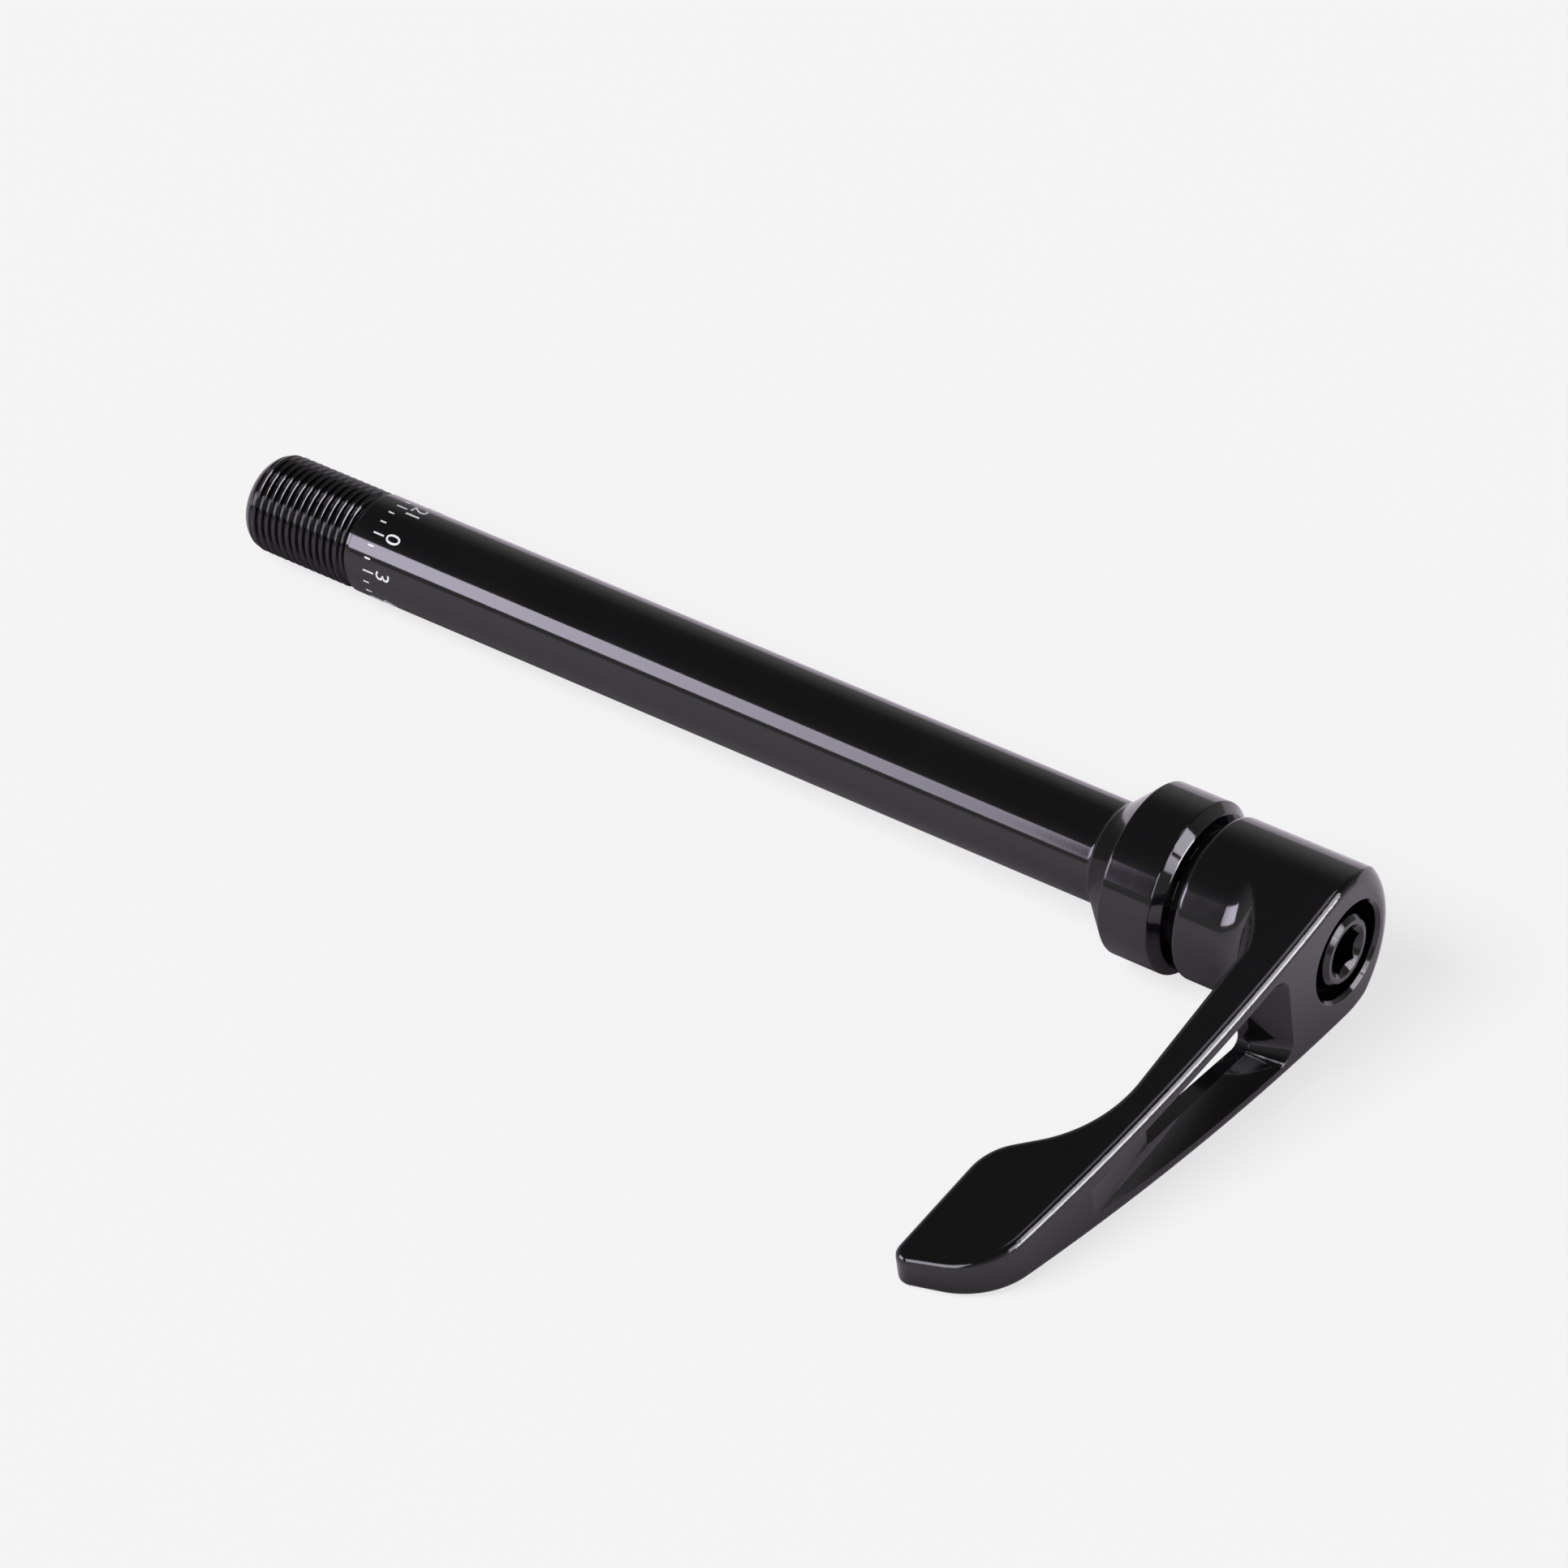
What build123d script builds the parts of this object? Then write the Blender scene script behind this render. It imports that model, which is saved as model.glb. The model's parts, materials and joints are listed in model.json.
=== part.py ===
from build123d import *
import os
from math import asin, atan, atan2, cos, degrees, hypot, radians, sin, tan

# A bicycle thru axle: a turned, hollow axle with a conical seat, and a forged lever that is
# pulled out against a spring, turned, and let drop back into a toothed hub.
# The pieces are drawn with the axle along X, the lever end at +X and the arm along -Y, from
# the point where the shank meets its seat. At the end they are laid down as they rest.

# Axle
shank_diameter = 11.95
axle_length = 118.5
thread_diameter = 11.85
thread_length = 16.0
thread_relief_width = 0.7
thread_relief_depth = 0.6
nose_chamfer = 1.6
bore_diameter = 6.2
bore_floor = 10.5
bore_chamfer = 0.5
seat_half_angle = 45.0
seat_root_radius = 0.8
flange_step = 0.7
flange_width = 6.2
flange_chamfer = 1.1

# Toothed hub on the axle, and the play of the lever on it
neck_step = 2.0
neck_length = 1.3
spline_teeth = 24
spline_wall = 2.5
spline_depth = 0.7
tooth_root_share = 0.72
tooth_tip_share = 0.34
spline_length = 2.9
spline_play = 0.06
spline_relief = 0.3
journal_diameter = 9.0
journal_play = 0.04

# Lever boss
boss_wall = 3.6
boss_length = 16.95
boss_swell = 0.08
crown_radius = 3.0
crown_shift = 2.5
web_thickness = 2.7
recess_play = 0.3
recess_chamfer = 0.4
flare_radius = 5.6

# Lever arm: reach and shape seen from above, then its thickness
arm_root_depth = 5.35
bow_radius = 330.0
bow_crown = 9.0
neck_reach = 37.3
neck_inset = 1.2
neck_radius = 15.0
paddle_run = 7.9
paddle_inset = 10.65
paddle_radius = 7.0
tip_reach = 62.0
tip_inset = 12.3
tip_slant = 17.0
tip_inner_radius = 1.6
tip_outer_radius = 9.0
tip_thickness = 4.1
edge_radius = 0.9

# Window through the arm: a funnel from over the outer face to a slot
window_start = 10.1
window_end = 48.8
window_rim = 1.3
window_corner = 2.7
window_tip_corner = 1.3
window_clear = 0.9
slot_start = 13.4
slot_start_half = 4.8
slot_end = 33.0
slot_end_half = 1.25
slot_corner = 1.2
slot_tip_corner = 0.7
slot_ledge = 1.1

# Spring, washer and bolt
wire_diameter = 0.7
wire_flats = 12
spring_play = 0.3
spring_turns = 2.5
seat_gap = 0.05
washer_rim_play = 0.25
washer_thickness = 0.8
washer_play = 0.1
bolt_thread_diameter = 6.0
bolt_thread_length = 10.0
bolt_thread_play = 0.03
bolt_shoulder_diameter = 7.2
bolt_head_diameter = 8.4
bolt_head_height = 4.2
bolt_head_sink = 0.15
bolt_head_chamfer = 0.5
hex_across_flats = 5.0
hex_depth = 3.0
hex_mouth_chamfer = 0.3
tapped_hole_spare = 2.0

# Widths, from the journal outwards: spring, recess, boss, then what follows the boss
spring_diameter = journal_diameter + 2 * (spring_play + wire_diameter)
recess_diameter = spring_diameter + 2 * recess_play
washer_diameter = recess_diameter - 2 * washer_rim_play
boss_diameter = recess_diameter + 2 * boss_wall
spline_diameter = boss_diameter - 2 * spline_wall
neck_diameter = boss_diameter - 2 * neck_step
flange_diameter = boss_diameter + 2 * flange_step

# Places along the axle
nose = -axle_length
thread_end = nose + thread_length
seat_length = (flange_diameter - shank_diameter) / 2 / tan(radians(seat_half_angle))
flange_front = seat_length
flange_rear = flange_front + flange_width + flange_chamfer
boss_front = flange_rear + neck_length
spline_end = boss_front + spline_length
web_front = spline_end + spline_relief
web_rear = web_front + web_thickness
outer_face = boss_front + boss_length
arm_root = outer_face - arm_root_depth
head_top = outer_face - bolt_head_sink
head_underside = head_top - bolt_head_height
washer_front = head_underside - washer_thickness
journal_end = washer_front - washer_play
spring_length = washer_front - web_rear - 2 * seat_gap
bolt_end = journal_end - bolt_thread_length
hex_mouth_radius = hex_across_flats / 2 / cos(radians(30)) + hex_mouth_chamfer

# Wedge of the arm: its two wide faces run from the boss, tangent to it, to the tip
boss_radius = boss_diameter / 2
tip_half = tip_thickness / 2
wedge = asin(boss_radius / hypot(tip_reach, tip_half)) - atan2(tip_half, tip_reach)

# Round part of the boss on the arm's side, a little proud of the wide faces, and its flare
boss_side = boss_radius + boss_swell
flare_start = (arm_root - flare_radius, boss_side)
flare_end = (arm_root, boss_side + flare_radius)

# Corners of the arm seen from above
neck_corner = (arm_root - neck_inset, -neck_reach)
paddle_corner = (arm_root - paddle_inset, -neck_reach - paddle_run)
tip_corner = (arm_root - tip_inset, -tip_reach)
past_face = outer_face + boss_length
crown_top = outer_face + bow_crown**2 / 2 / bow_radius
crown_reach = boss_radius + crown_shift

# Planes of the window, with their own X along the arm: over the bowed face, and on the ledge
face_fall = ((window_end + bow_crown) ** 2 - (window_start + bow_crown) ** 2) / 2 / bow_radius
face_slope = atan2(face_fall, window_end - window_start)
mouth_fall = (window_start + bow_crown) ** 2 / 2 / bow_radius
mouth_height = crown_top - mouth_fall + window_start * tan(face_slope)
window_mouth = Plane(
    (mouth_height + window_clear, 0, 0),
    x_dir=(-sin(face_slope), -cos(face_slope), 0),
    z_dir=(cos(face_slope), -sin(face_slope), 0),
)
window_floor = Plane((arm_root + slot_ledge, 0, 0), x_dir=(0, -1, 0), z_dir=(1, 0, 0))


def arm_half(reach):
    """Half the arm's thickness at a distance from the axle."""
    return (boss_radius - reach * sin(wedge)) / cos(wedge)


def toothed_outline(play):
    """Sketch of the toothed hub, grown by a play for the hole it drops into."""
    tip = spline_diameter / 2 + play
    root = tip - spline_depth
    half_step = radians(180 / spline_teeth)
    root_half = root * sin(half_step) * tooth_root_share + play
    tip_half_width = tip * sin(half_step) * tooth_tip_share + play
    Circle(root)
    with PolarLocations(0, spline_teeth):
        Polygon(
            (root - spline_depth, -root_half),
            (tip, -tip_half_width),
            (tip, tip_half_width),
            (root - spline_depth, root_half),
            align=None,
        )


def window_outline(sketch, start, start_half, end, end_half, corner, tip_corner):
    """Window in a sketch, wide near the boss and narrow towards the tip, with rounded corners."""
    near_side = [(start, start_half), (start, -start_half)]
    far_side = [(end, -end_half), (end, end_half)]
    Polygon(near_side + far_side, align=None)
    fillet(sketch.vertices().sort_by(Axis.X)[:2], corner)
    fillet(sketch.vertices().sort_by(Axis.X)[-2:], tip_corner)


with BuildPart() as axle:
    with BuildSketch(Plane.XZ) as turned:
        with BuildLine():
            Polyline(
                (nose, bore_diameter / 2),
                (nose, thread_diameter / 2 - nose_chamfer),
                (nose + nose_chamfer, thread_diameter / 2),
                (thread_end - thread_relief_width, thread_diameter / 2),
                (thread_end - thread_relief_width, thread_diameter / 2 - thread_relief_depth),
                (thread_end, thread_diameter / 2 - thread_relief_depth),
                (thread_end, shank_diameter / 2),
                (0, shank_diameter / 2),
                (flange_front, flange_diameter / 2),
                (flange_rear - flange_chamfer, flange_diameter / 2),
                (flange_rear, flange_diameter / 2 - flange_chamfer),
                (flange_rear, neck_diameter / 2),
                (boss_front, neck_diameter / 2),
                (boss_front, journal_diameter / 2),
                (journal_end, journal_diameter / 2),
                (journal_end, bolt_thread_diameter / 2 + bolt_thread_play),
                (bolt_end - tapped_hole_spare, bolt_thread_diameter / 2 + bolt_thread_play),
                (bolt_end - tapped_hole_spare, 0),
                (-bore_floor, 0),
                (-bore_floor, bore_diameter / 2),
                close=True,
            )
        make_face()
        fillet(turned.vertices().sort_by_distance((0, 0, shank_diameter / 2))[0], seat_root_radius)
        chamfer(turned.vertices().sort_by_distance((nose, 0, bore_diameter / 2))[0], bore_chamfer)
    revolve(axis=Axis.X)
    with BuildSketch(Plane.YZ.offset(boss_front)):
        toothed_outline(0)
        Circle(journal_diameter / 2, mode=Mode.SUBTRACT)
    extrude(amount=spline_length)

with BuildPart() as lever:
    # boss, flaring out into the arm
    with BuildSketch(Plane.XY):
        with BuildLine():
            Polyline(
                flare_end,
                (arm_root + neck_inset, flare_end[1]),
                (arm_root + neck_inset, 0),
                (boss_front, 0),
                (boss_front, boss_side),
                flare_start,
            )
            RadiusArc(flare_start, flare_end, -flare_radius)
        make_face()
    revolve(axis=Axis.X)
    # arm seen from above: straight root, waisted neck, paddle and slanted tip
    with BuildSketch(Plane.XY) as plan:
        Polygon(
            (arm_root, boss_diameter),
            (arm_root, 0),
            neck_corner,
            paddle_corner,
            tip_corner,
            (past_face, -tip_reach + (past_face - tip_corner[0]) * tan(radians(tip_slant))),
            (past_face, boss_diameter),
            align=None,
        )
        for corner, radius in (
            (neck_corner, neck_radius),
            (paddle_corner, paddle_radius),
            (tip_corner, tip_inner_radius),
        ):
            fillet(plan.vertices().sort_by_distance(corner)[0], radius)
        with Locations((crown_top - bow_radius, bow_crown)):
            Circle(bow_radius, mode=Mode.INTERSECT)
        tip_outer = plan.vertices().sort_by_distance((outer_face, -tip_reach))[0]
        fillet(tip_outer, tip_outer_radius)
    extrude(amount=boss_diameter, both=True)
    # wedge of the two wide faces, tangent to the boss
    with BuildSketch(Plane.YZ):
        Circle(boss_radius)
        Polygon(
            (-boss_radius * sin(wedge), boss_radius * cos(wedge)),
            (-tip_reach - tip_thickness, arm_half(tip_reach + tip_thickness)),
            (-tip_reach - tip_thickness, -arm_half(tip_reach + tip_thickness)),
            (-boss_radius * sin(wedge), -boss_radius * cos(wedge)),
            align=None,
        )
    extrude(amount=past_face, mode=Mode.INTERSECT)
    # rounded edges all round the two wide faces, the front of the boss and its far rim
    flat_faces = lever.faces().filter_by(GeomType.PLANE)
    wide_faces = flat_faces.filter_by(lambda face: abs(face.normal_at().Z) > cos(2 * wedge))
    wide_edges = wide_faces.edges().sort_by(Axis.Y)[:-2]
    front_rim = flat_faces.sort_by(Axis.X)[0].outer_wire().edges().sort_by(Axis.Y)[0]
    far_rim = lever.edges().filter_by(lambda edge: (edge @ 0.5).Y > 0).sort_by(Axis.X)[-1]
    fillet(wide_edges + [front_rim, far_rim], edge_radius)
    # far end of the boss, rounded more and more away from the arm
    with BuildSketch(Plane((0, -crown_shift, 0), x_dir=(1, 0, 0), z_dir=(0, -1, 0))):
        with BuildLine():
            Polyline(
                (crown_top, crown_reach - crown_radius),
                (past_face, crown_reach - crown_radius),
                (past_face, crown_reach + crown_radius),
                (crown_top - crown_radius, crown_reach + crown_radius),
                (crown_top - crown_radius, crown_reach),
            )
            RadiusArc(
                (crown_top - crown_radius, crown_reach),
                (crown_top, crown_reach - crown_radius),
                crown_radius,
            )
        make_face()
    revolve(axis=Axis((0, -crown_shift, 0), (-1, 0, 0)), revolution_arc=180, mode=Mode.SUBTRACT)
    # window: a funnel sunk into the bowed face, and a slot through what is left of the arm
    with BuildSketch(window_mouth) as mouth:
        window_outline(
            mouth,
            window_start,
            arm_half(window_start) - window_rim,
            window_end,
            arm_half(window_end) - window_rim,
            window_corner,
            window_tip_corner,
        )
    with BuildSketch(window_floor) as slot:
        window_outline(
            slot,
            slot_start,
            slot_start_half,
            slot_end,
            slot_end_half,
            slot_corner,
            slot_tip_corner,
        )
    loft(mode=Mode.SUBTRACT)
    extrude(slot.sketch, amount=-arm_root_depth, mode=Mode.SUBTRACT)
    # toothed hole, running bore and spring recess, from the axle side to the outer face
    with BuildSketch(Plane.YZ.offset(boss_front)):
        toothed_outline(spline_play)
    extrude(amount=web_front - boss_front, mode=Mode.SUBTRACT)
    with BuildSketch(Plane.YZ.offset(web_front)):
        Circle(journal_diameter / 2 + journal_play)
    extrude(amount=web_thickness, mode=Mode.SUBTRACT)
    with BuildSketch(Plane.YZ.offset(web_rear)):
        Circle(recess_diameter / 2)
    extrude(amount=past_face - web_rear, mode=Mode.SUBTRACT)
    # broken edge at the mouth of the recess
    rim = lever.edges().filter_by(GeomType.BSPLINE).sort_by_distance((outer_face, 0, 0))[0]
    chamfer(rim, recess_chamfer)

with BuildPart() as spring_washer:
    with BuildSketch(Plane.YZ.offset(washer_front)):
        Circle(washer_diameter / 2)
        Circle(bolt_shoulder_diameter / 2 + washer_play, mode=Mode.SUBTRACT)
    extrude(amount=washer_thickness)

with BuildPart() as lever_bolt:
    with BuildSketch(Plane.XZ):
        with BuildLine():
            Polyline(
                (bolt_end, 0),
                (bolt_end, bolt_thread_diameter / 2 - bolt_head_chamfer),
                (bolt_end + bolt_head_chamfer, bolt_thread_diameter / 2),
                (journal_end, bolt_thread_diameter / 2),
                (journal_end, bolt_shoulder_diameter / 2),
                (head_underside, bolt_shoulder_diameter / 2),
                (head_underside, bolt_head_diameter / 2),
                (head_top - bolt_head_chamfer, bolt_head_diameter / 2),
                (head_top, bolt_head_diameter / 2 - bolt_head_chamfer),
                (head_top, hex_mouth_radius),
                (head_top - hex_mouth_radius, 0),
                close=True,
            )
        make_face()
    revolve(axis=Axis.X)
    with BuildSketch(Plane.YZ.offset(head_top)):
        RegularPolygon(hex_across_flats / 2, 6, major_radius=False)
    extrude(amount=-hex_depth, mode=Mode.SUBTRACT)

with BuildPart() as lever_spring:
    coil_radius = (spring_diameter - wire_diameter) / 2
    coil_height = spring_length - wire_diameter
    coil_start = web_rear + seat_gap + wire_diameter / 2
    with BuildLine() as coil:
        Helix(
            coil_height / spring_turns,
            coil_height,
            coil_radius,
            center=(coil_start, 0, 0),
            direction=(1, 0, 0),
        )
    # round wire, drawn with flats to keep its many turns light
    with BuildSketch(Plane(coil.line @ 0, z_dir=coil.line % 0)):
        RegularPolygon(wire_diameter / 2, wire_flats)
    sweep(is_frenet=True)

# Lying at rest: on the first thread, the front edge of the flange and the tip of the arm
flange_radius = flange_diameter / 2
rest_tilt = atan((flange_radius - thread_diameter / 2) / (flange_front - nose - nose_chamfer))
rest_reach = tip_reach - edge_radius
rest_half = arm_half(rest_reach)
floor_depth = flange_radius + (tip_corner[0] + tip_inner_radius - flange_front) * tan(rest_tilt)
rest_roll = asin(floor_depth / hypot(rest_reach, rest_half)) - atan2(rest_half, rest_reach)
rest = Rot(Y=-degrees(rest_tilt)) * Rot(X=degrees(rest_roll))

os.makedirs("parts", exist_ok=True)
axle.part.label = "axle"
axle.part.locate(rest)
export_step(axle.part, "parts/axle.step")
lever.part.label = "lever"
lever.part.locate(rest)
export_step(lever.part, "parts/lever.step")
spring_washer.part.label = "spring_washer"
spring_washer.part.locate(rest)
export_step(spring_washer.part, "parts/spring_washer.step")
lever_bolt.part.label = "lever_bolt"
lever_bolt.part.locate(rest)
export_step(lever_bolt.part, "parts/lever_bolt.step")
lever_spring.part.label = "lever_spring"
lever_spring.part.locate(rest)
export_step(lever_spring.part, "parts/lever_spring.step")
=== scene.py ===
import json
from math import atan2, cos, exp, hypot, log, pi, radians, sin, sqrt, tan

import bmesh
import bpy
from mathutils import Matrix, Vector


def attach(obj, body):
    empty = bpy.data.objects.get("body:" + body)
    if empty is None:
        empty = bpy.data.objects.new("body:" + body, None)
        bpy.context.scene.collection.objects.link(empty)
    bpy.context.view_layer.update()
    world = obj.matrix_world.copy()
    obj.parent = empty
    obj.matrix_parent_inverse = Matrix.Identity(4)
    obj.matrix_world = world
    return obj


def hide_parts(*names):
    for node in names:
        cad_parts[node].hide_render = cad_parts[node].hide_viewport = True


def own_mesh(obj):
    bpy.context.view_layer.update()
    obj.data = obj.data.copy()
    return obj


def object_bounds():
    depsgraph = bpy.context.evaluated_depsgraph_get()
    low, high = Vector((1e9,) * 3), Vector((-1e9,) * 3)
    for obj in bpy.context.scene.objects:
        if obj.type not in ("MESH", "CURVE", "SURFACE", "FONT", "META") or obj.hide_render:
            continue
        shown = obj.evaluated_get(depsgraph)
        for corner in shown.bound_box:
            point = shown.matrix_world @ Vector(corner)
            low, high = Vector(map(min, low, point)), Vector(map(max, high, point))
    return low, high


# A bicycle thru axle, lying at rest: a black anodised axle with a fine thread on its nose, and
# an indexing lever that a bolt, a washer and a spring hold on its toothed hub.
# Pieces are made in millimetres with the axle along X, then laid down into the frame in metres.

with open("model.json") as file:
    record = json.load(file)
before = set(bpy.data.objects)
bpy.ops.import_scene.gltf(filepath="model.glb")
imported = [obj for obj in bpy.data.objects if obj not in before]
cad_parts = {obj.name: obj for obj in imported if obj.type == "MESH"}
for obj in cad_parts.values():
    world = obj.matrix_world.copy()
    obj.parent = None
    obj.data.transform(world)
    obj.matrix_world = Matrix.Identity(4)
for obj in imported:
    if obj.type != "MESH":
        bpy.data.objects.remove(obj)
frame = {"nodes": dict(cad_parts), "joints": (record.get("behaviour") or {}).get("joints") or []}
cad_low, cad_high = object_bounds()
cad_nodes = frame["nodes"]
MM = 0.001

# How the part lies
axle_axis = Vector(frame["joints"][0]["axis"]).normalized()
REST_TILT = atan2(axle_axis.z, axle_axis.x)
REST_ROLL = radians(7.798)
LAID_DOWN = (
    Matrix.Rotation(-REST_TILT, 4, "Y") @ Matrix.Rotation(REST_ROLL, 4, "X") @ Matrix.Scale(MM, 4)
)
FLOOR_Z = cad_low.z

# Axle, as in the part's source: places along it and radii, in millimetres
NOSE = -118.5
THREAD_CREST = 5.925
THREAD_ROOT = 5.325
THREAD_STOP = -103.2
THREAD_END = -102.5
SHANK = 5.975
SEAT_ANGLE = 45
SEAT_ROOT_ROUND = 0.8
FLANGE = 10.1
FLANGE_FRONT = 4.125
FLANGE_REAR = 11.425
FLANGE_CHAMFER = 1.1
NECK = 7.4
BOSS_FRONT = 12.725
HUB_END = 15.625
HUB_TIP = 6.9
HUB_ROOT = 6.2
HUB_TEETH = 24
TOOTH_TIP_SHARE = 0.34
TOOTH_ROOT_SHARE = 0.72
JOURNAL = 4.5
JOURNAL_END = 24.425
TAPPED_HOLE = 3.03
TAPPED_END = 12.425
BORE = 3.1
BORE_END = -10.5
BORE_CHAMFER = 0.5
DRILL_POINT = 1.2

# Domed nose: its flat end's rim, the dome's length and how far its line rises past the crest,
# then the plain part of it and the length over which the thread deepens
NOSE_RIM = 3.75
NOSE_ROUND = 3.2
NOSE_OVER = 0.15
NOSE_PLAIN = 1.1
NOSE_LEAD = 0.9

# Thread: turned from before the nose, with a rounded form, and run out beside the relief
THREAD_PITCH = 1.0
THREAD_START = NOSE - 1.5
THREAD_TURNS = 18
RUN_OUT_SLOPE = 1.4
RELIEF_START = THREAD_STOP + 0.05
FORM_STEPS = 14

# Broken edges: one plain size, and points along the flange's edges as (way along, depth)
BROKEN_EDGE = 0.12
FLANGE_FRONT_EDGE = ((-0.1, 0.1), (-0.03, 0.035), (0.04, 0.005), (0.12, 0))
FLANGE_REAR_EDGE = ((-0.1, 0), (-0.02, 0.015), (0.06, 0.07))
CHAMFER_END_EDGE = ((-0.08, -0.08), (0, 0.04))

# How finely the axle is divided
STEPS_AROUND = 160
THREAD_STEPS = 96
SEAT_ROOT_STEPS = 6
SHANK_ROWS = range(-100, 0, 10)
HOLD_REACH = 0.12
HOLD_SHARE = 0.2

# Spring of the lever, in millimetres
WIRE = 0.35
WIRE_STEPS = 14
COIL = 5.15
COIL_START = 19.025
COIL_END = 24.125
COIL_TURNS = 2.5
COIL_STEPS = 64

# Printed index ring on the shank: one tick for each tooth and a number at every third tick
MARK_DEPTH = 0.025
MARK_START = 62.0
TICK_PLACE = -99.9
TICK_WIDTH = 0.2
TICK_LONG = 1.5
TICK_SHORT = 0.8
NUMBER_PLACE = -97.2
NUMBER_SIZE = 2.8
NUMBER_EVERY = 3
NUMBER_SLICE = 0.2
NUMBER_SLICES = 10

# Colours and relief of the finishes
BLACK_SKIN = (0.0034, 0.0033, 0.0037)
# Lighter black at the edges: partly rubbed wear, partly a painted highlight along them
WORN_AND_HIGHLIT_EDGE_BLACK = (0.009, 0.009, 0.0095)
CLOUD_SHADES = (0.75, 1.25)
SKIN_IOR = 1.5
RELIEF_DEPTH = 0.00002

# Studio: floor, air and key light, with strengths where a colour renders about as it is written
FLOOR_SIZE = 60
FLOOR_PAPER = (0.86, 0.86, 0.86, 1)
FLOOR_PALE = (0.92, 0.92, 0.92, 1)
FLOOR_PALE_SHARE = 0.8
FLOOR_MIRRORED = (0.97, 0.89, 1.0, 1)
FLOOR_MIRRORED_STRENGTH = 1.1
# Reach and strength of the painted contact shade on the floor as mirrored in the part
PAINTED_SHADE_REACH = 0.06
PAINTED_SHADE_POWER = 2.0
ROOM_LEVELS = ((0.0, 0.44), (0.3, 0.41), (0.52, 0.27), (0.68, 0.12), (0.8, 0.09))
ROOM_BLUE = 1.02
KEY_WAY = (-28, 48)
KEY_STRENGTH = 3.4
KEY_SPREAD = 35
SOFTBOX_WHITE = (0.93, 0.9, 1.0)

# Camera of the photograph, as fitted: its place in metres and its three directions
CAMERA_LENS = 167.7
CAMERA_PLACE = (0.32346, -0.51328, 0.51532)
CAMERA_RIGHT = (0.8126, 0.58283, 0)
CAMERA_UP = (-0.37338, 0.52059, 0.76784)
CAMERA_BACK = (0.44751, -0.62395, 0.64065)


# Tools for pieces


def new_piece(name, bm, material, sharp_angle=30):
    """A mesh object from a bmesh in millimetres, laid down in the frame and smooth but for its edges."""
    mesh = bpy.data.meshes.new(name)
    bm.to_mesh(mesh)
    bm.free()
    mesh.transform(LAID_DOWN)
    mesh.shade_smooth()
    mesh.set_sharp_from_angle(angle=radians(sharp_angle))
    mesh.materials.append(material)
    piece = bpy.data.objects.new(name, mesh)
    bpy.context.scene.collection.objects.link(piece)
    return piece


def all_of(bm):
    """Every vertex, edge and face of a bmesh."""
    return bm.verts[:] + bm.edges[:] + bm.faces[:]


def move_new(bm, geom, along):
    """Moves the vertices among newly made geometry along the axle."""
    verts = [part for part in geom if isinstance(part, bmesh.types.BMVert)]
    bmesh.ops.translate(bm, vec=(along, 0, 0), verts=verts)


def draw_line(bm, points):
    """An open line of (place, radius) points above the axle's own line."""
    verts = [bm.verts.new((place, 0, radius)) for place, radius in points]
    return verts + [bm.edges.new(pair) for pair in zip(verts, verts[1:])]


def hold_ends(points):
    """Adds a point just inside both ends of each long straight run, so that it shades straight."""
    held = [points[0]]
    for start, end in zip(points, points[1:]):
        along, out = end[0] - start[0], end[1] - start[1]
        share = HOLD_REACH / hypot(along, out)
        if share < HOLD_SHARE:
            held += [(start[0] + part * along, start[1] + part * out) for part in (share, 1 - share)]
        held.append(end)
    return held


def edge_points(place, radius, steps):
    """Points of a broken edge, from its corner's place and radius."""
    return [(place + along, radius - depth) for along, depth in steps]


def turn_on_lathe(bm, points):
    """Turns a line of (place, radius) points round the axle."""
    bmesh.ops.spin(
        bm, geom=draw_line(bm, hold_ends(points)), cent=(0, 0, 0), axis=(1, 0, 0), dvec=(0, 0, 0),
        angle=2 * pi, steps=STEPS_AROUND, use_merge=True, use_duplicate=False,
    )


def open_ring(bm, place):
    """The open edges that lie on a plane across the axle."""
    return [
        edge for edge in bm.edges
        if edge.is_boundary and all(abs(vert.co.x - place) < 1e-3 for vert in edge.verts)
    ]


# Finishes


def add_node(tree, kind, inputs=None, **settings):
    """A node with its settings, its inputs' values, and links from the sockets given for them."""
    node = tree.nodes.new(kind)
    for name, value in settings.items():
        setattr(node, name, value)
    for name, value in (inputs or {}).items():
        if isinstance(value, bpy.types.NodeSocket):
            tree.links.new(value, node.inputs[name])
        else:
            node.inputs[name].default_value = value
    return node


def set_stops(ramp, colours):
    """Gives a colour ramp its (place, colour) stops, in rising order from 0."""
    stops = ramp.color_ramp.elements
    stops.remove(stops[1])
    for count, (place, colour) in enumerate(colours):
        stop = stops.new(place) if count else stops[0]
        stop.color = colour


def new_group(name, inputs, outputs):
    """An empty node group with named number inputs and outputs, and its two end nodes."""
    group = bpy.data.node_groups.new(name, "ShaderNodeTree")
    for label, value in inputs.items():
        socket = group.interface.new_socket(label, in_out="INPUT", socket_type="NodeSocketFloat")
        socket.default_value = value
    for label, kind in outputs.items():
        group.interface.new_socket(label, in_out="OUTPUT", socket_type=kind)
    return group, group.nodes.new("NodeGroupInput"), group.nodes.new("NodeGroupOutput")


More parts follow.
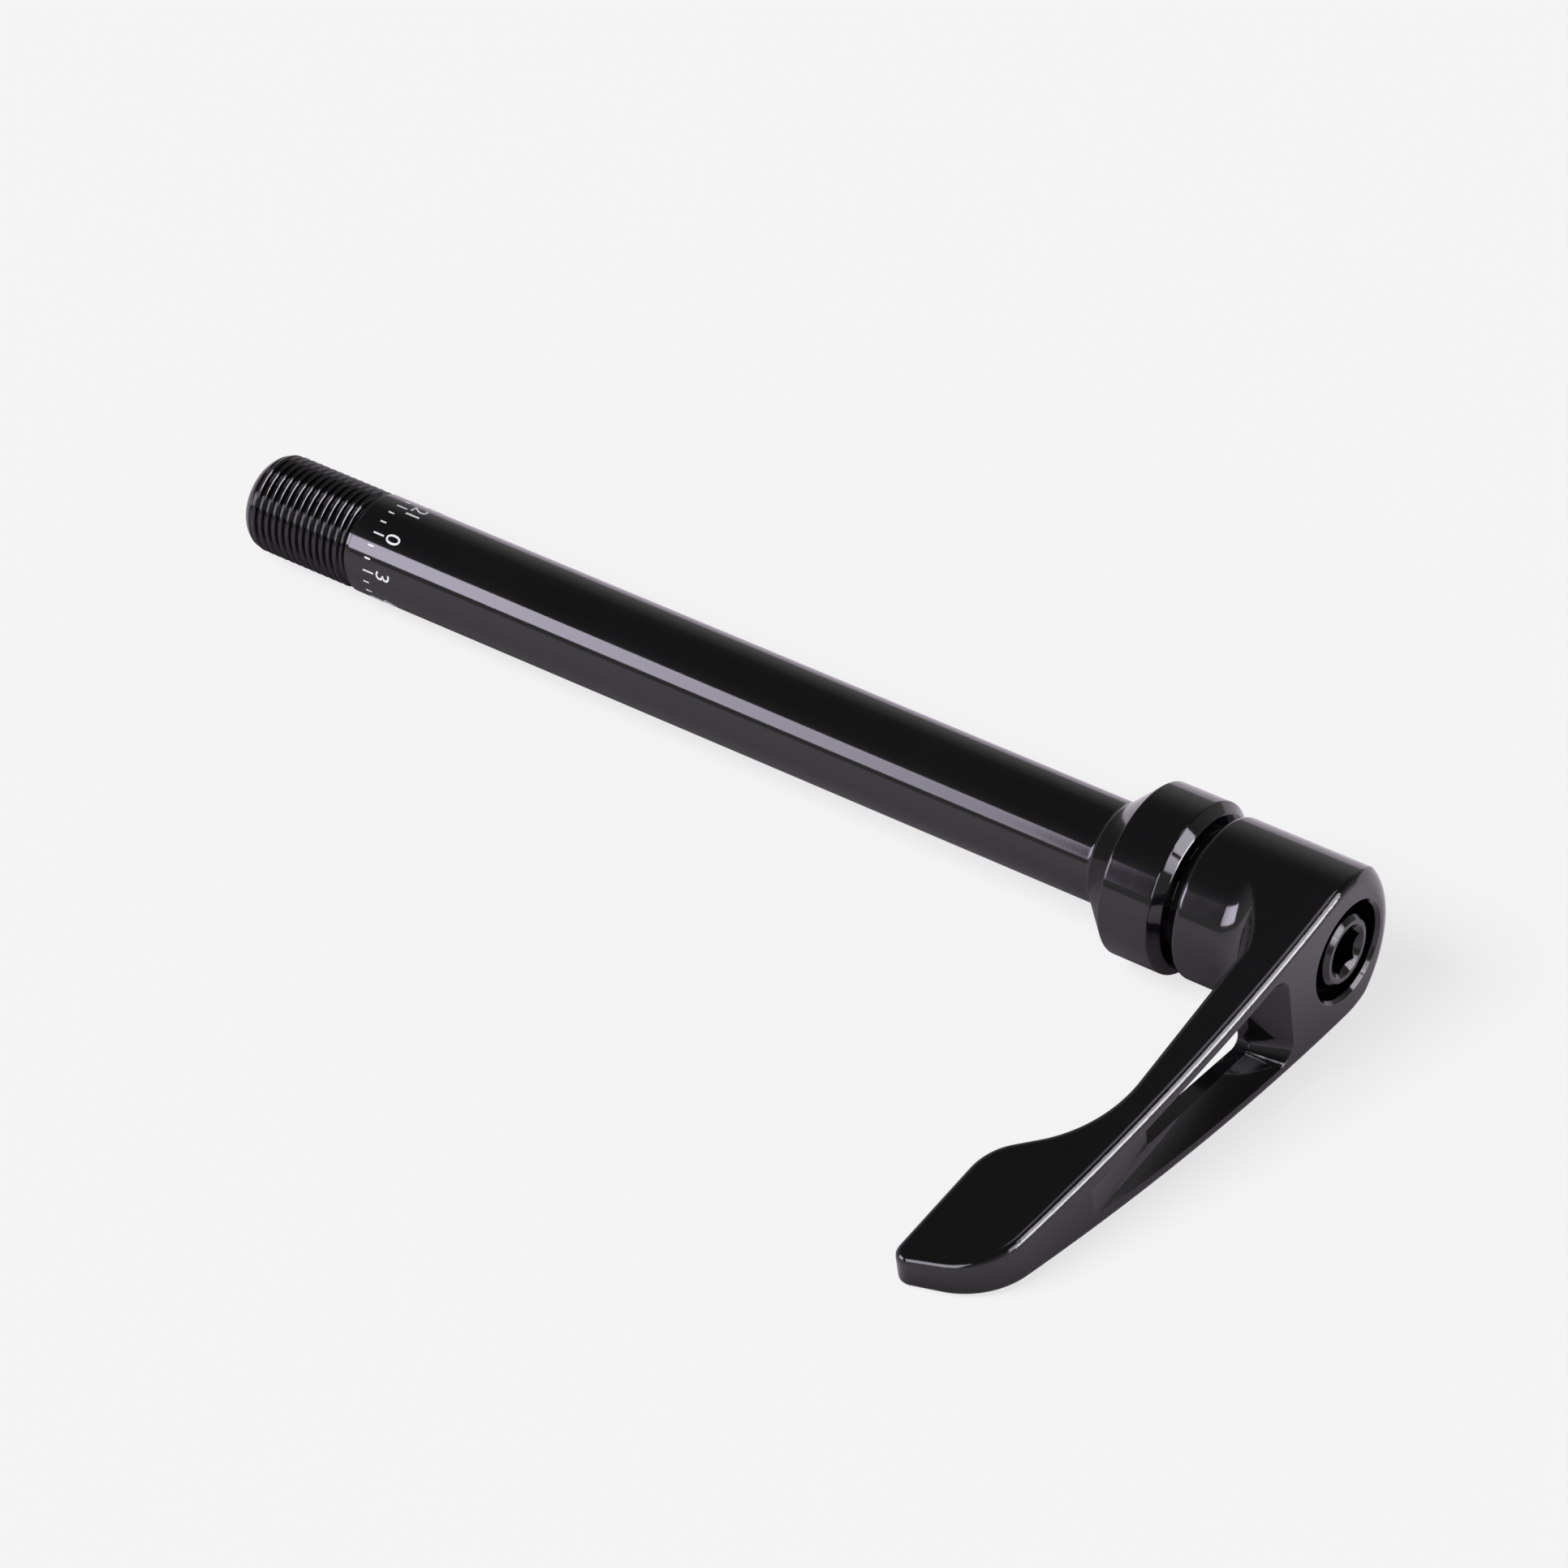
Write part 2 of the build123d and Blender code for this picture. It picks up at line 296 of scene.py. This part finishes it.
def make_fine_grain():
    """Etched grain of the anodised skin, and broad clouds in its gloss."""
    group, given, made = new_group(
        "fine_grain", {"Grain Scale": 9000.0, "Cloud Scale": 110.0},
        {"Grain": "NodeSocketFloat", "Clouds": "NodeSocketFloat"},
    )
    place = add_node(group, "ShaderNodeTexCoord").outputs["Object"]
    grain = add_node(group, "ShaderNodeTexNoise", {
        "Vector": place, "Scale": given.outputs["Grain Scale"], "Detail": 3.0, "Roughness": 0.6,
    })
    clouds = add_node(group, "ShaderNodeTexNoise", {
        "Vector": place, "Scale": given.outputs["Cloud Scale"], "Detail": 4.0, "Roughness": 0.55,
    })
    group.links.new(grain.outputs["Fac"], made.inputs["Grain"])
    group.links.new(clouds.outputs["Fac"], made.inputs["Clouds"])
    return group


def make_turned_lines():
    """Fine rings that a lathe tool leaves round the axle's line."""
    group, given, made = new_group(
        "turned_lines", {"Lines per Metre": 7000.0}, {"Lines": "NodeSocketFloat"},
    )
    place = add_node(group, "ShaderNodeTexCoord").outputs["Object"]
    along = add_node(group, "ShaderNodeMapping", {"Vector": place, "Rotation": (0, REST_TILT, 0)})
    split = add_node(group, "ShaderNodeSeparateXYZ", {"Vector": along.outputs["Vector"]})
    packed = add_node(group, "ShaderNodeMath", {
        0: split.outputs["X"], 1: given.outputs["Lines per Metre"],
    }, operation="MULTIPLY")
    stretched = add_node(group, "ShaderNodeCombineXYZ", {"X": packed.outputs[0], "Y": 0.0, "Z": 0.0})
    drift = add_node(group, "ShaderNodeVectorMath", {
        0: place, 1: (40.0, 40.0, 40.0),
    }, operation="MULTIPLY")
    mixed = add_node(group, "ShaderNodeVectorMath", {
        0: stretched.outputs["Vector"], 1: drift.outputs["Vector"],
    }, operation="ADD")
    lines = add_node(group, "ShaderNodeTexNoise", {
        "Vector": mixed.outputs["Vector"], "Scale": 1.0, "Detail": 2.0, "Roughness": 0.5,
    })
    group.links.new(lines.outputs["Fac"], made.inputs["Lines"])
    return group


def make_broken_edge():
    """Normals that round off a sharp edge, and a mask of where the edges are."""
    group, given, made = new_group(
        "broken_edge", {"Radius": 0.0003}, {"Edge": "NodeSocketFloat", "Normal": "NodeSocketVector"},
    )
    rounded = add_node(group, "ShaderNodeBevel", {"Radius": given.outputs["Radius"]}, samples=4)
    flat = add_node(group, "ShaderNodeNewGeometry")
    agree = add_node(group, "ShaderNodeVectorMath", {
        0: rounded.outputs["Normal"], 1: flat.outputs["Normal"],
    }, operation="DOT_PRODUCT")
    edge = add_node(group, "ShaderNodeMapRange", {
        "Value": agree.outputs["Value"], "From Min": 0.98, "From Max": 0.8, "To Min": 0.0, "To Max": 1.0,
    })
    group.links.new(edge.outputs["Result"], made.inputs["Edge"])
    group.links.new(rounded.outputs["Normal"], made.inputs["Normal"])
    return group


FINE_GRAIN = make_fine_grain()
TURNED_LINES = make_turned_lines()
BROKEN_EDGE_LOOK = make_broken_edge()


def make_finish(
    name, colour, worn_and_highlit_edge, gloss, bump, grain_scale, lines=0.0, edge_radius=0.0003, metallic=0.0,
):
    """A metal skin: clouded colour, another colour at the edges, which is partly rubbed wear and partly
    a painted highlight, clouded gloss between two roughnesses, and grain and turned lines in relief."""
    material = bpy.data.materials.new(name)
    material.use_nodes = True
    tree = material.node_tree
    shader = tree.nodes["Principled BSDF"]
    shader.inputs["IOR"].default_value = SKIN_IOR
    shader.inputs["Metallic"].default_value = metallic
    grain = add_node(tree, "ShaderNodeGroup", node_tree=FINE_GRAIN)
    grain.inputs["Grain Scale"].default_value = grain_scale
    edge = add_node(tree, "ShaderNodeGroup", node_tree=BROKEN_EDGE_LOOK)
    edge.inputs["Radius"].default_value = edge_radius
    dark, light = ((*[part * shade for part in colour], 1) for shade in CLOUD_SHADES)
    clouded = add_node(tree, "ShaderNodeMix", {
        "Factor": grain.outputs["Clouds"], "A": dark, "B": light,
    }, data_type="RGBA")
    # Edge colour in patches along the edges: partly rubbed wear, partly a painted highlight
    worn_and_highlit_mask = add_node(tree, "ShaderNodeMath", {
        0: edge.outputs["Edge"], 1: grain.outputs["Clouds"],
    }, operation="MULTIPLY")
    worn_and_highlit_mix = add_node(tree, "ShaderNodeMix", {
        "Factor": worn_and_highlit_mask.outputs[0], "A": clouded.outputs["Result"], "B": (*worn_and_highlit_edge, 1),
    }, data_type="RGBA")
    tree.links.new(worn_and_highlit_mix.outputs["Result"], shader.inputs["Base Color"])
    shine = add_node(tree, "ShaderNodeMapRange", {
        "Value": grain.outputs["Clouds"], "From Min": 0.3, "From Max": 0.7,
        "To Min": gloss[0], "To Max": gloss[1],
    })
    tree.links.new(shine.outputs["Result"], shader.inputs["Roughness"])
    height = grain.outputs["Grain"]
    if lines:
        rings = add_node(tree, "ShaderNodeGroup", node_tree=TURNED_LINES)
        height = add_node(tree, "ShaderNodeMath", {
            0: rings.outputs["Lines"], 1: lines, 2: grain.outputs["Grain"],
        }, operation="MULTIPLY_ADD").outputs[0]
    relief = add_node(tree, "ShaderNodeBump", {
        "Strength": bump, "Distance": RELIEF_DEPTH, "Height": height, "Normal": edge.outputs["Normal"],
    })
    tree.links.new(relief.outputs["Normal"], shader.inputs["Normal"])
    return material


black_anodised = make_finish(
    "black_anodised", BLACK_SKIN, WORN_AND_HIGHLIT_EDGE_BLACK, (0.045, 0.075), 0.05, 9000,
    lines=0.8, edge_radius=0.00012,
)
# The lever's edges are painted much lighter: a painted highlight along them as well as wear
black_lever = make_finish(
    "black_lever", BLACK_SKIN, (0.04, 0.04, 0.042), (0.06, 0.1), 0.06, 7000,
    edge_radius=0.00015,
)
black_bolt = make_finish(
    "black_bolt", (0.003, 0.003, 0.0032), WORN_AND_HIGHLIT_EDGE_BLACK, (0.07, 0.12), 0.1, 8000,
    lines=0.3, edge_radius=0.00015,
)
dark_washer = make_finish(
    "dark_washer", (0.006, 0.006, 0.0063), (0.012, 0.012, 0.012), (0.25, 0.35), 0.15, 8000,
)
spring_steel = make_finish(
    "spring_steel", (0.4, 0.4, 0.41), (0.5, 0.5, 0.5), (0.22, 0.36), 0.15, 12000,
    metallic=1.0,
)
white_print = make_finish(
    "white_print", (0.62, 0.62, 0.64), (0.4, 0.4, 0.41), (0.3, 0.45), 0.2, 14000,
    edge_radius=0.00004,
)


# Axle: a true thread on the nose, joined to the turned shank, flange, hub and journal


def soft_least(first, second, blend=0.05):
    """The smaller of two radii, with a soft change from one to the other."""
    return min(first, second) - blend * log(1 + exp(-abs(first - second) / blend))


def thread_limit(place):
    """Largest radius that the domed nose, and the run-out beside the relief, leave for the thread."""
    run = min(1.0, max(0.0, (place - NOSE) / NOSE_ROUND))
    nose = NOSE_RIM + (THREAD_CREST + NOSE_OVER - NOSE_RIM) * sqrt(1 - (1 - run) ** 2)
    if run == 1.0:
        nose = THREAD_CREST + 1
    return min(nose, THREAD_ROOT + max(0.0, THREAD_STOP - place) * RUN_OUT_SLOPE)


def thread_form():
    """One pitch of the rounded thread, as (place, radius) points from root to root."""
    depth = THREAD_CREST - THREAD_ROOT
    return [
        (THREAD_START + share * THREAD_PITCH, THREAD_CREST - depth * (1 + cos(2 * pi * share)) / 2)
        for share in (part / FORM_STEPS for part in range(FORM_STEPS + 1))
    ]


def cut_thread(bm):
    """One turn of the thread, repeated along the nose, then cut off at the nose and at the relief."""
    bmesh.ops.spin(
        bm, geom=draw_line(bm, thread_form()), cent=(0, 0, 0), axis=(1, 0, 0),
        dvec=(THREAD_PITCH / THREAD_STEPS, 0, 0),
        angle=2 * pi, steps=THREAD_STEPS, use_merge=False, use_duplicate=False,
    )
    one_turn = all_of(bm)
    for turn in range(1, THREAD_TURNS):
        move_new(bm, bmesh.ops.duplicate(bm, geom=one_turn)["geom"], turn * THREAD_PITCH)
    bmesh.ops.remove_doubles(bm, verts=bm.verts, dist=0.002)
    for place, side in ((NOSE, -1), (THREAD_STOP, 1)):
        bmesh.ops.bisect_plane(
            bm, geom=all_of(bm), dist=1e-5,
            plane_co=(place, 0, 0), plane_no=(side, 0, 0), clear_outer=True,
        )
    for vert in bm.verts:
        radius = hypot(vert.co.y, vert.co.z)
        plain = min(1.0, max(0.0, (NOSE + NOSE_PLAIN + NOSE_LEAD - vert.co.x) / NOSE_LEAD))
        filled = radius + (THREAD_CREST - radius) * plain
        trim = soft_least(filled, thread_limit(vert.co.x)) / radius
        vert.co.y *= trim
        vert.co.z *= trim


def add_hub_teeth(bm):
    """Toothed hub that the lever drops onto."""
    step = 2 * pi / HUB_TEETH
    half_tip = sin(step / 2) * TOOTH_TIP_SHARE
    half_root = sin(step / 2) * TOOTH_ROOT_SHARE
    outline = []
    for tooth in range(HUB_TEETH):
        for angle, radius in (
            (-half_root, HUB_ROOT), (-half_tip, HUB_TIP), (half_tip, HUB_TIP), (half_root, HUB_ROOT),
        ):
            turn = tooth * step + angle
            outline.append(bm.verts.new((BOSS_FRONT, radius * cos(turn), radius * sin(turn))))
    grown = bmesh.ops.extrude_face_region(bm, geom=[bm.faces.new(outline)])["geom"]
    move_new(bm, grown, HUB_END - BOSS_FRONT)


def seat_root():
    """Small round between the shank and the conical seat."""
    start = -SEAT_ROOT_ROUND * tan(radians(SEAT_ANGLE / 2))
    return [
        (start + SEAT_ROOT_ROUND * sin(turn), SHANK + SEAT_ROOT_ROUND * (1 - cos(turn)))
        for turn in (radians(SEAT_ANGLE * part / SEAT_ROOT_STEPS) for part in range(SEAT_ROOT_STEPS + 1))
    ]


def make_axle():
    """The whole axle as one closed skin, with the toothed hub set into it."""
    bm = bmesh.new()
    cut_thread(bm)
    nose_ring = open_ring(bm, NOSE)
    relief_ring = open_ring(bm, THREAD_STOP)
    # hollow nose, from its flat end to the drill point of the bore
    turn_on_lathe(bm, [
        (NOSE, BORE + BORE_CHAMFER), (NOSE + BORE_CHAMFER, BORE),
        (BORE_END, BORE), (BORE_END + DRILL_POINT, 0),
    ])
    inner_ring = [edge for edge in open_ring(bm, NOSE) if edge not in nose_ring]
    bmesh.ops.bridge_loops(bm, edges=nose_ring + inner_ring)
    # relief, shank, seat, flange, neck and journal, down to the end of the tapped hole
    turn_on_lathe(bm, [
        (RELIEF_START, THREAD_ROOT), (THREAD_END, THREAD_ROOT),
        (THREAD_END, SHANK - BROKEN_EDGE), (THREAD_END + BROKEN_EDGE, SHANK),
        *[(row, SHANK) for row in SHANK_ROWS],
        *seat_root(),
        *edge_points(FLANGE_FRONT, FLANGE, FLANGE_FRONT_EDGE),
        *edge_points(FLANGE_REAR - FLANGE_CHAMFER, FLANGE, FLANGE_REAR_EDGE),
        *edge_points(FLANGE_REAR, FLANGE - FLANGE_CHAMFER, CHAMFER_END_EDGE),
        (FLANGE_REAR, NECK), (BOSS_FRONT, NECK), (BOSS_FRONT, JOURNAL),
        (JOURNAL_END - BROKEN_EDGE, JOURNAL), (JOURNAL_END, JOURNAL - BROKEN_EDGE),
        (JOURNAL_END, TAPPED_HOLE), (TAPPED_END, TAPPED_HOLE), (TAPPED_END - DRILL_POINT, 0),
    ])
    bmesh.ops.bridge_loops(bm, edges=relief_ring + open_ring(bm, RELIEF_START))
    bmesh.ops.remove_doubles(bm, verts=bm.verts, dist=0.0005)
    add_hub_teeth(bm)
    bmesh.ops.recalc_face_normals(bm, faces=bm.faces)
    return new_piece("axle_turned", bm, black_anodised)


axle = make_axle()
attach(axle, "axle")
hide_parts("axle")


# Index ring printed on the shank: ticks and plain numbers, drawn flat and wrapped round


def flat_number(text):
    """A number as a thin flat bmesh, sliced so that it can be wrapped."""
    font = bpy.data.curves.new("number", "FONT")
    font.body = text
    font.size = NUMBER_SIZE
    font.align_x = "CENTER"
    font.align_y = "CENTER"
    font.extrude = MARK_DEPTH
    font.resolution_u = 4
    holder = bpy.data.objects.new("number", font)
    mesh = bpy.data.meshes.new_from_object(holder)
    bpy.data.objects.remove(holder)
    bpy.data.curves.remove(font)
    number = bmesh.new()
    number.from_mesh(mesh)
    bpy.data.meshes.remove(mesh)
    bmesh.ops.remove_doubles(number, verts=number.verts, dist=0.0005)
    for count in range(-NUMBER_SLICES, NUMBER_SLICES + 1):
        bmesh.ops.bisect_plane(
            number, geom=all_of(number), dist=1e-4,
            plane_co=(count * NUMBER_SLICE, 0, 0), plane_no=(1, 0, 0),
        )
    return number


def add_bmesh(bm, other):
    """Adds another bmesh to this one, and frees it."""
    mesh = bpy.data.meshes.new("joined")
    other.to_mesh(mesh)
    other.free()
    bm.from_mesh(mesh)
    bpy.data.meshes.remove(mesh)


def make_index_ring():
    """Ticks and numbers laid out along the shank's girth, then wrapped round it."""
    bm = bmesh.new()
    girth_step = 2 * pi / HUB_TEETH * SHANK
    for tick in range(HUB_TEETH):
        length = TICK_SHORT if tick % NUMBER_EVERY else TICK_LONG
        place = Matrix.Translation((tick * girth_step, TICK_PLACE + length / 2, 0))
        size = Matrix.Diagonal((TICK_WIDTH, length, 2 * MARK_DEPTH, 1))
        bmesh.ops.create_cube(bm, size=1, matrix=place @ size)
    for tick in range(0, HUB_TEETH, NUMBER_EVERY):
        number = flat_number(str(tick))
        bmesh.ops.translate(number, vec=(tick * girth_step, NUMBER_PLACE, 0), verts=number.verts)
        add_bmesh(bm, number)
    for vert in bm.verts:
        turn = radians(MARK_START) - vert.co.x / SHANK
        radius = SHANK + vert.co.z
        vert.co = (vert.co.y, -radius * cos(turn), radius * sin(turn))
    bmesh.ops.recalc_face_normals(bm, faces=bm.faces)
    return new_piece("index_marks", bm, white_print)


marks = make_index_ring()
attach(marks, "axle")


# Coil spring, on the spring pack's body


def make_spring():
    """A round wire spun along the journal, closed at both ends."""
    bm = bmesh.new()
    wire = bmesh.ops.create_circle(bm, segments=WIRE_STEPS, radius=WIRE)
    stood_up = Matrix.Translation((COIL_START, 0, COIL)) @ Matrix.Rotation(pi / 2, 4, "X")
    bmesh.ops.transform(bm, verts=wire["verts"], matrix=stood_up)
    steps = int(COIL_STEPS * COIL_TURNS)
    bmesh.ops.spin(
        bm, geom=bm.verts[:] + bm.edges[:], cent=(0, 0, 0), axis=(1, 0, 0),
        dvec=((COIL_END - COIL_START) / steps, 0, 0),
        angle=2 * pi * COIL_TURNS, steps=steps, use_merge=False, use_duplicate=False,
    )
    bmesh.ops.holes_fill(bm, edges=[edge for edge in bm.edges if edge.is_boundary])
    bmesh.ops.recalc_face_normals(bm, faces=bm.faces)
    return new_piece("coil_spring", bm, spring_steel)


spring = make_spring()
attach(spring, "spring_pack")
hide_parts("lever_spring")
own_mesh(spring)

# Lever, bolt and washer keep their solids and get their finish
for name, finish in (("lever", black_lever), ("lever_bolt", black_bolt), ("spring_washer", dark_washer)):
    cad_nodes[name].data.materials.clear()
    cad_nodes[name].data.materials.append(finish)


# Floor, light and camera


def toward(azimuth, elevation):
    """Direction from the part: azimuth from the front round to the lever's end, then height."""
    turn, rise = radians(azimuth), radians(elevation)
    return Vector((sin(turn) * cos(rise), -cos(turn) * cos(rise), sin(rise)))


def facing_place(place, right, up, back):
    """A place in the room, turned to three directions."""
    return Matrix.Translation(place) @ Matrix((right, up, back)).transposed().to_4x4()


def empty_material(name):
    """A material with no nodes yet, and its node tree."""
    material = bpy.data.materials.new(name)
    material.use_nodes = True
    material.node_tree.nodes.clear()
    return material, material.node_tree


def staged_sheet(name, width, height, place, material):
    """A flat sheet of the studio, with its place in its mesh."""
    bm = bmesh.new()
    bmesh.ops.create_grid(bm, x_segments=1, y_segments=1, size=0.5)
    bmesh.ops.transform(bm, verts=bm.verts, matrix=place @ Matrix.Diagonal((width, height, 1, 1)))
    mesh = bpy.data.meshes.new(name)
    bm.to_mesh(mesh)
    bm.free()
    mesh.materials.append(material)
    sheet = bpy.data.objects.new(name, mesh)
    bpy.context.scene.collection.objects.link(sheet)
    return sheet


def light_panel(
    name, way, width, height, levels, colour=SOFTBOX_WHITE, distance=1.2, slide=0.0, slant=0.0,
):
    """A softbox that only reflections see. Levels are its strengths at shares of its width, and slant
    leans their lines."""
    facing = -way
    right = Vector((0, 0, 1)).cross(facing).normalized()
    rise = facing.cross(right)
    centre = way * distance + right * slide
    lean = right - slant * rise
    material, tree = empty_material(name)
    place = add_node(tree, "ShaderNodeTexCoord").outputs["Object"]
    across = add_node(tree, "ShaderNodeVectorMath", {
        0: place, 1: tuple(lean / width),
    }, operation="DOT_PRODUCT")
    share = add_node(tree, "ShaderNodeMath", {
        0: across.outputs["Value"], 1: 0.5 - centre.dot(lean) / width,
    }, operation="ADD")
    ramp = add_node(tree, "ShaderNodeValToRGB", {"Fac": share.outputs[0]})
    top = max(level for _, level in levels)
    set_stops(ramp, [(stop, (*[part * level / top for part in colour], 1)) for stop, level in levels])
    glow = add_node(tree, "ShaderNodeEmission", {"Color": ramp.outputs["Color"], "Strength": top})
    out = add_node(tree, "ShaderNodeOutputMaterial")
    tree.links.new(glow.outputs["Emission"], out.inputs["Surface"])
    panel = staged_sheet(name, width, height, facing_place(centre, right, rise, facing), material)
    panel.visible_camera = False
    panel.visible_diffuse = False
    panel.visible_shadow = False


light_panel(
    "front_softbox", toward(-28, 20), 1.0, 0.49,
    ((0.0, 0.3), (0.356, 0.3), (0.361, 5.6), (0.547, 10.6), (1.0, 11.0)),
    colour=(0.88, 0.83, 1.0), slide=0.15, slant=0.208,
)
light_panel("right_softbox", toward(2, 28), 0.8, 0.72, ((0.0, 7.5), (1.0, 7.5)), distance=1.3)
light_panel("side_softbox", toward(79, 26), 0.24, 0.7, ((0.0, 8.0), (1.0, 6.0)))
light_panel("back_softbox", toward(104, 44), 0.53, 0.69, ((0.0, 8.5), (1.0, 8.5)))
light_panel(
    "back_strip", toward(100, 16.5), 0.62, 0.48, ((0.0, 21.0), (1.0, 21.0)), colour=(0.95, 0.93, 1.0),
)
light_panel("top_softbox", toward(-140, 74), 0.4, 0.36, ((0.0, 2.2), (1.0, 2.2)))


def make_floor():
    """Pale paper that keeps the shadow. Mirrored in the part it glows, with a painted contact shade that
    makes it darker close to the part, as under a wide soft light."""
    material, tree = empty_material("pale_floor")
    paper = add_node(tree, "ShaderNodeBsdfDiffuse", {"Color": FLOOR_PAPER})
    pale = add_node(tree, "ShaderNodeEmission", {"Color": FLOOR_PALE})
    rays = add_node(tree, "ShaderNodeLightPath")
    seen = add_node(tree, "ShaderNodeMath", {
        0: rays.outputs["Is Camera Ray"], 1: FLOOR_PALE_SHARE,
    }, operation="MULTIPLY")
    direct = add_node(tree, "ShaderNodeMixShader", {
        0: seen.outputs[0], 1: paper.outputs["BSDF"], 2: pale.outputs["Emission"],
    })
    # Painted contact shade: in reflections the floor's glow darkens by the part's occlusion close to it
    open_sky = add_node(tree, "ShaderNodeAmbientOcclusion", {"Distance": PAINTED_SHADE_REACH}, samples=4)
    painted_contact_shade = add_node(tree, "ShaderNodeMath", {
        0: open_sky.outputs["AO"], 1: PAINTED_SHADE_POWER,
    }, operation="POWER")
    shade = add_node(tree, "ShaderNodeMix", {
        "Factor": painted_contact_shade.outputs[0], "A": (0, 0, 0, 1), "B": FLOOR_MIRRORED,
    }, data_type="RGBA")
    glow = add_node(tree, "ShaderNodeEmission", {
        "Color": shade.outputs["Result"], "Strength": FLOOR_MIRRORED_STRENGTH,
    })
    mirrored = add_node(tree, "ShaderNodeMath", {
        0: rays.outputs["Is Glossy Ray"], 1: rays.outputs["Is Transmission Ray"],
    }, operation="MAXIMUM")
    blend = add_node(tree, "ShaderNodeMixShader", {
        0: mirrored.outputs[0], 1: direct.outputs["Shader"], 2: glow.outputs["Emission"],
    })
    out = add_node(tree, "ShaderNodeOutputMaterial")
    tree.links.new(blend.outputs["Shader"], out.inputs["Surface"])
    staged_sheet("floor", FLOOR_SIZE, FLOOR_SIZE, Matrix.Translation((0, 0, FLOOR_Z)), material)


def make_room():
    """Dim studio round the part, paler at the horizon."""
    world = bpy.data.worlds.new("studio")
    bpy.context.scene.world = world
    world.use_nodes = True
    tree = world.node_tree
    tree.nodes.clear()
    way = add_node(tree, "ShaderNodeTexCoord").outputs["Generated"]
    split = add_node(tree, "ShaderNodeSeparateXYZ", {"Vector": way})
    ramp = add_node(tree, "ShaderNodeValToRGB", {"Fac": split.outputs["Z"]})
    set_stops(ramp, [(rise, (level, level, level * ROOM_BLUE, 1)) for rise, level in ROOM_LEVELS])
    air = add_node(tree, "ShaderNodeBackground", {"Color": ramp.outputs["Color"]})
    out = add_node(tree, "ShaderNodeOutputWorld")
    tree.links.new(air.outputs["Background"], out.inputs["Surface"])


def make_key_light():
    """Broad soft light from the front left, which throws the shadow to the back right."""
    light = bpy.data.lights.new("key_light", "SUN")
    light.energy = KEY_STRENGTH
    light.angle = radians(KEY_SPREAD)
    lamp = bpy.data.objects.new("key_light", light)
    lamp.rotation_euler = (-toward(*KEY_WAY)).to_track_quat("-Z", "Y").to_euler()
    lamp.visible_glossy = False
    bpy.context.scene.collection.objects.link(lamp)


def make_camera():
    """Camera of the photograph."""
    camera = bpy.data.cameras.new("camera")
    camera.lens = CAMERA_LENS
    camera.sensor_width = 36
    camera.clip_start = 0.01
    camera.clip_end = 200
    eye = bpy.data.objects.new("camera", camera)
    eye.matrix_world = facing_place(CAMERA_PLACE, CAMERA_RIGHT, CAMERA_UP, CAMERA_BACK)
    bpy.context.scene.collection.objects.link(eye)
    bpy.context.scene.camera = eye


make_floor()
make_room()
make_key_light()
make_camera()
bpy.context.scene.view_settings.view_transform = "Standard"
